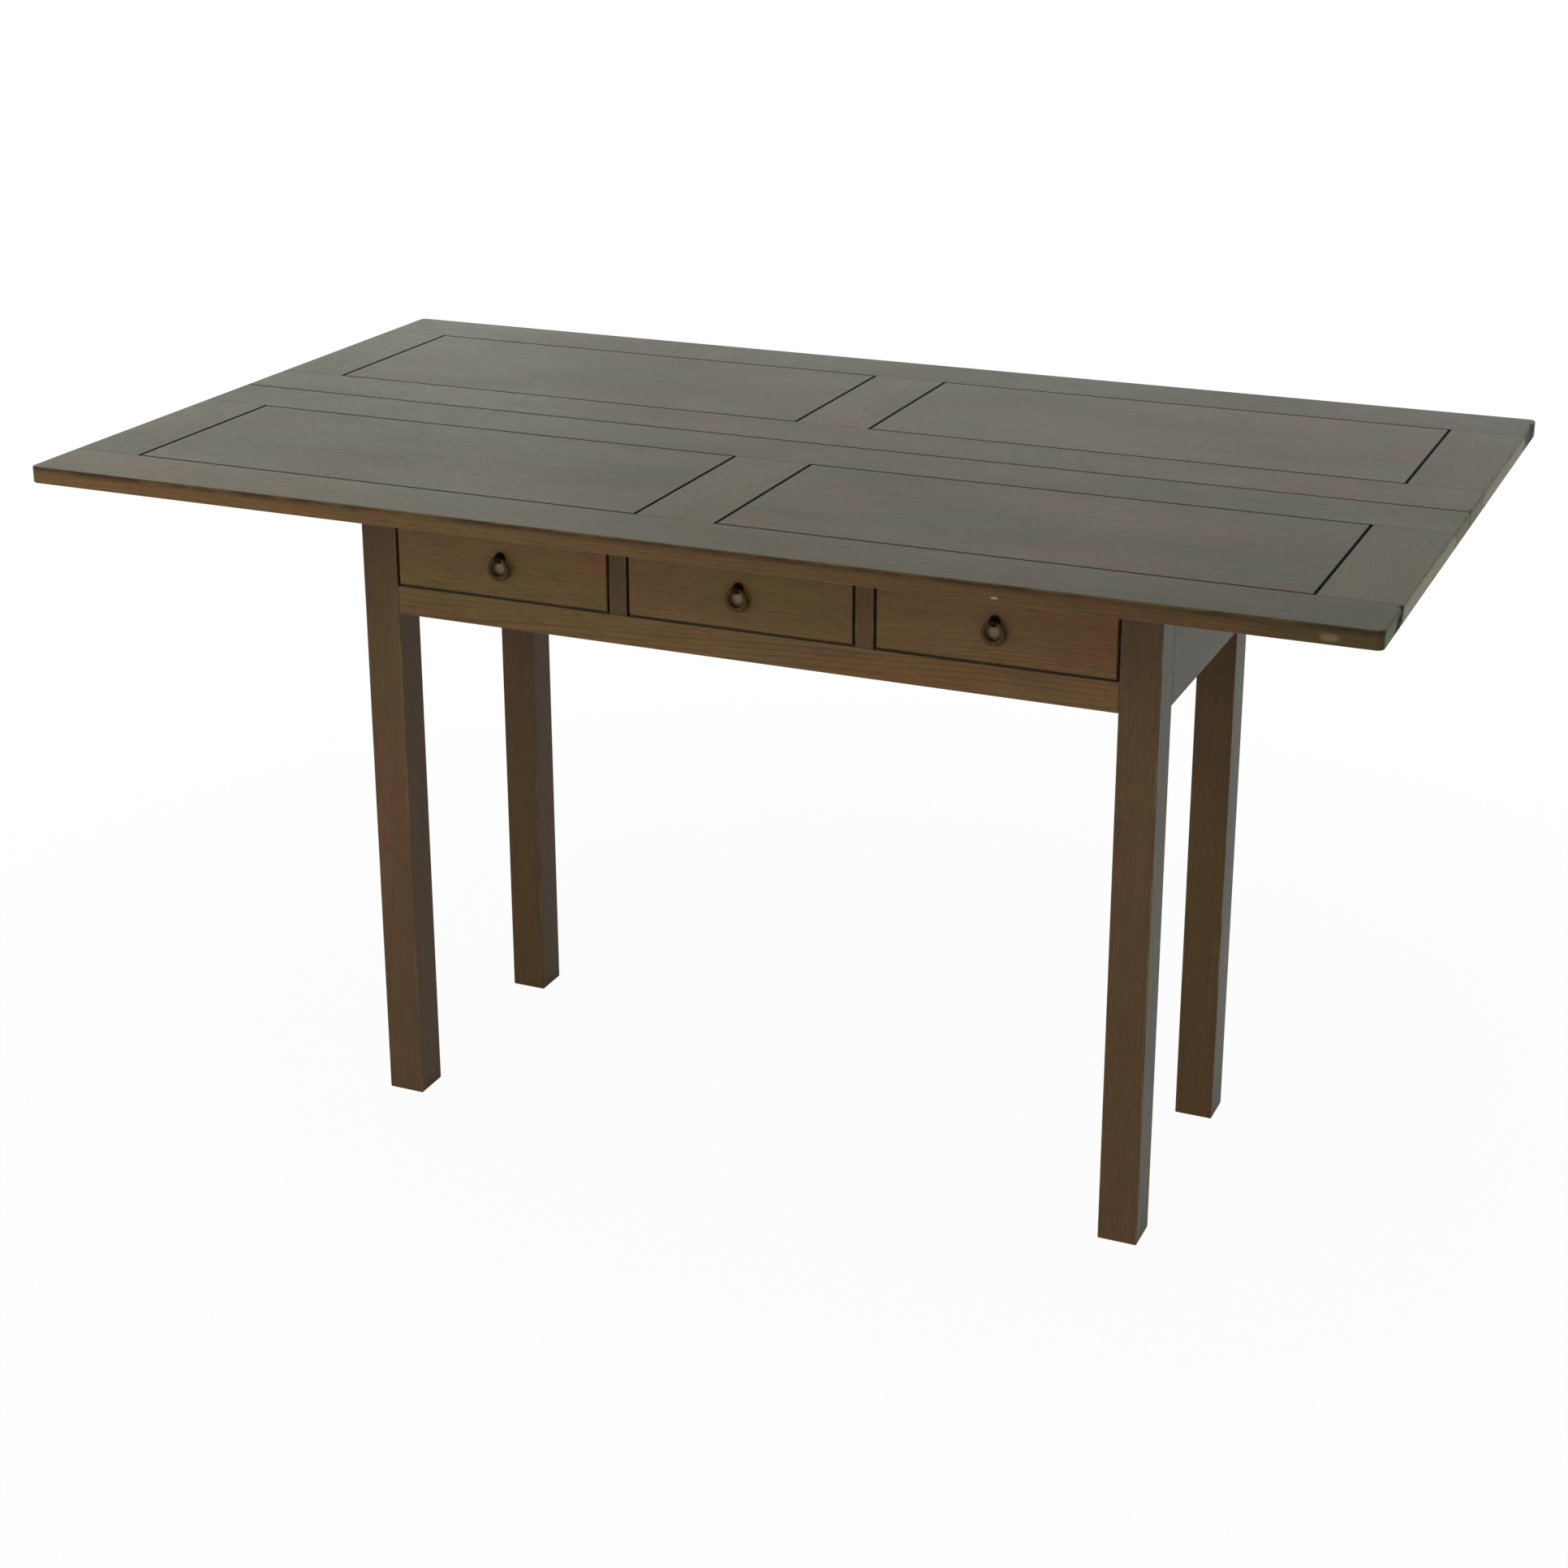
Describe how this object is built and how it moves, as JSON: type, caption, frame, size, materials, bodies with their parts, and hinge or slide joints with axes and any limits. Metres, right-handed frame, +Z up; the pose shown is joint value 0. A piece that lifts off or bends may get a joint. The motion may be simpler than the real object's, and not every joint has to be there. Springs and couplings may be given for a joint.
{
  "type": "extendable console table",
  "caption": "Wooden console table whose framed top folds out flat and slides on a carriage over a legged base with ring-pull drawers.",
  "frame": {"origin": "on the floor under the middle of the opened top", "axes": "+X along the table to the right seen from the front, -Y towards the drawers' front, +Z up"},
  "size_m": [1.4, 0.8, 0.775],
  "materials": {
    "top_wood": "dark stain under a satin varnish",
    "panel_wood": "dark stain under a satin varnish",
    "frame_wood": "dark brown stain under a satin varnish",
    "front_wood": "dark brown stain under a satin varnish",
    "inner_wood": "planed and waxed",
    "dark_bronze": "dark patinated",
    "hinge_steel": "plated"
  },
  "bodies": {
    "frame": {"leg_front_left": "frame_wood", "leg_front_right": "frame_wood", "leg_rear_left": "frame_wood", "leg_rear_right": "frame_wood", "front_lower_rail": "frame_wood", "front_upper_rail": "frame_wood", "divider_left": "frame_wood", "divider_right": "frame_wood", "rear_apron": "frame_wood", "side_apron_left": "frame_wood", "side_apron_right": "frame_wood", "runner_outer_left": "inner_wood", "runner_outer_right": "inner_wood", "runner_inner_left": "inner_wood", "runner_inner_right": "inner_wood", "slide_guide_left": "inner_wood", "slide_guide_right": "inner_wood"},
    "main_leaf": {"main_seam_rail": "top_wood", "main_outer_rail": "top_wood", "main_middle_stile": "top_wood", "main_end_stile_left": "top_wood", "main_end_stile_right": "top_wood", "main_panel_left": "panel_wood", "main_panel_right": "panel_wood", "main_hinge_barrel_left": "hinge_steel", "main_hinge_barrel_middle": "hinge_steel", "main_hinge_barrel_right": "hinge_steel", "slide_carriage": "inner_wood"},
    "fold_leaf": {"fold_seam_rail": "top_wood", "fold_outer_rail": "top_wood", "fold_middle_stile": "top_wood", "fold_end_stile_left": "top_wood", "fold_end_stile_right": "top_wood", "fold_panel_left": "panel_wood", "fold_panel_right": "panel_wood", "fold_hinge_barrel_left": "hinge_steel", "fold_hinge_barrel_middle": "hinge_steel", "fold_hinge_barrel_right": "hinge_steel"},
    "left_drawer": {"left_drawer_front": "front_wood", "left_drawer_left_side": "inner_wood", "left_drawer_right_side": "inner_wood", "left_drawer_back": "inner_wood", "left_drawer_bottom": "inner_wood", "left_pull_post": "dark_bronze"},
    "middle_drawer": {"middle_drawer_front": "front_wood", "middle_drawer_left_side": "inner_wood", "middle_drawer_right_side": "inner_wood", "middle_drawer_back": "inner_wood", "middle_drawer_bottom": "inner_wood", "middle_pull_post": "dark_bronze"},
    "right_drawer": {"right_drawer_front": "front_wood", "right_drawer_left_side": "inner_wood", "right_drawer_right_side": "inner_wood", "right_drawer_back": "inner_wood", "right_drawer_bottom": "inner_wood", "right_pull_post": "dark_bronze"},
    "left_ring": {"left_pull_ring": "dark_bronze"},
    "middle_ring": {"middle_pull_ring": "dark_bronze"},
    "right_ring": {"right_pull_ring": "dark_bronze"}
  },
  "joints": [
    {"name": "top_slide", "type": "slide", "parent": "frame", "child": "main_leaf", "axis": [0, 1, 0], "range_m": [0, 0.2]},
    {"name": "leaf_fold", "type": "hinge", "parent": "main_leaf", "child": "fold_leaf", "pos_m": [0, 0, 0.77525], "axis": [1, 0, 0], "range_deg": [0, 180]},
    {"name": "left_drawer_slide", "type": "slide", "parent": "frame", "child": "left_drawer", "axis": [0, -1, 0], "range_m": [0, 0.22]},
    {"name": "middle_drawer_slide", "type": "slide", "parent": "frame", "child": "middle_drawer", "axis": [0, -1, 0], "range_m": [0, 0.22]},
    {"name": "right_drawer_slide", "type": "slide", "parent": "frame", "child": "right_drawer", "axis": [0, -1, 0], "range_m": [0, 0.22]},
    {"name": "left_ring_swing", "type": "hinge", "parent": "left_drawer", "child": "left_ring", "pos_m": [-0.277, -0.1758, 0.6617], "axis": [-1, 0, 0], "range_deg": [-5, 185]},
    {"name": "middle_ring_swing", "type": "hinge", "parent": "middle_drawer", "child": "middle_ring", "pos_m": [0, -0.1758, 0.6617], "axis": [-1, 0, 0], "range_deg": [-5, 185]},
    {"name": "right_ring_swing", "type": "hinge", "parent": "right_drawer", "child": "right_ring", "pos_m": [0.277, -0.1758, 0.6617], "axis": [-1, 0, 0], "range_deg": [-5, 185]}
  ]
}
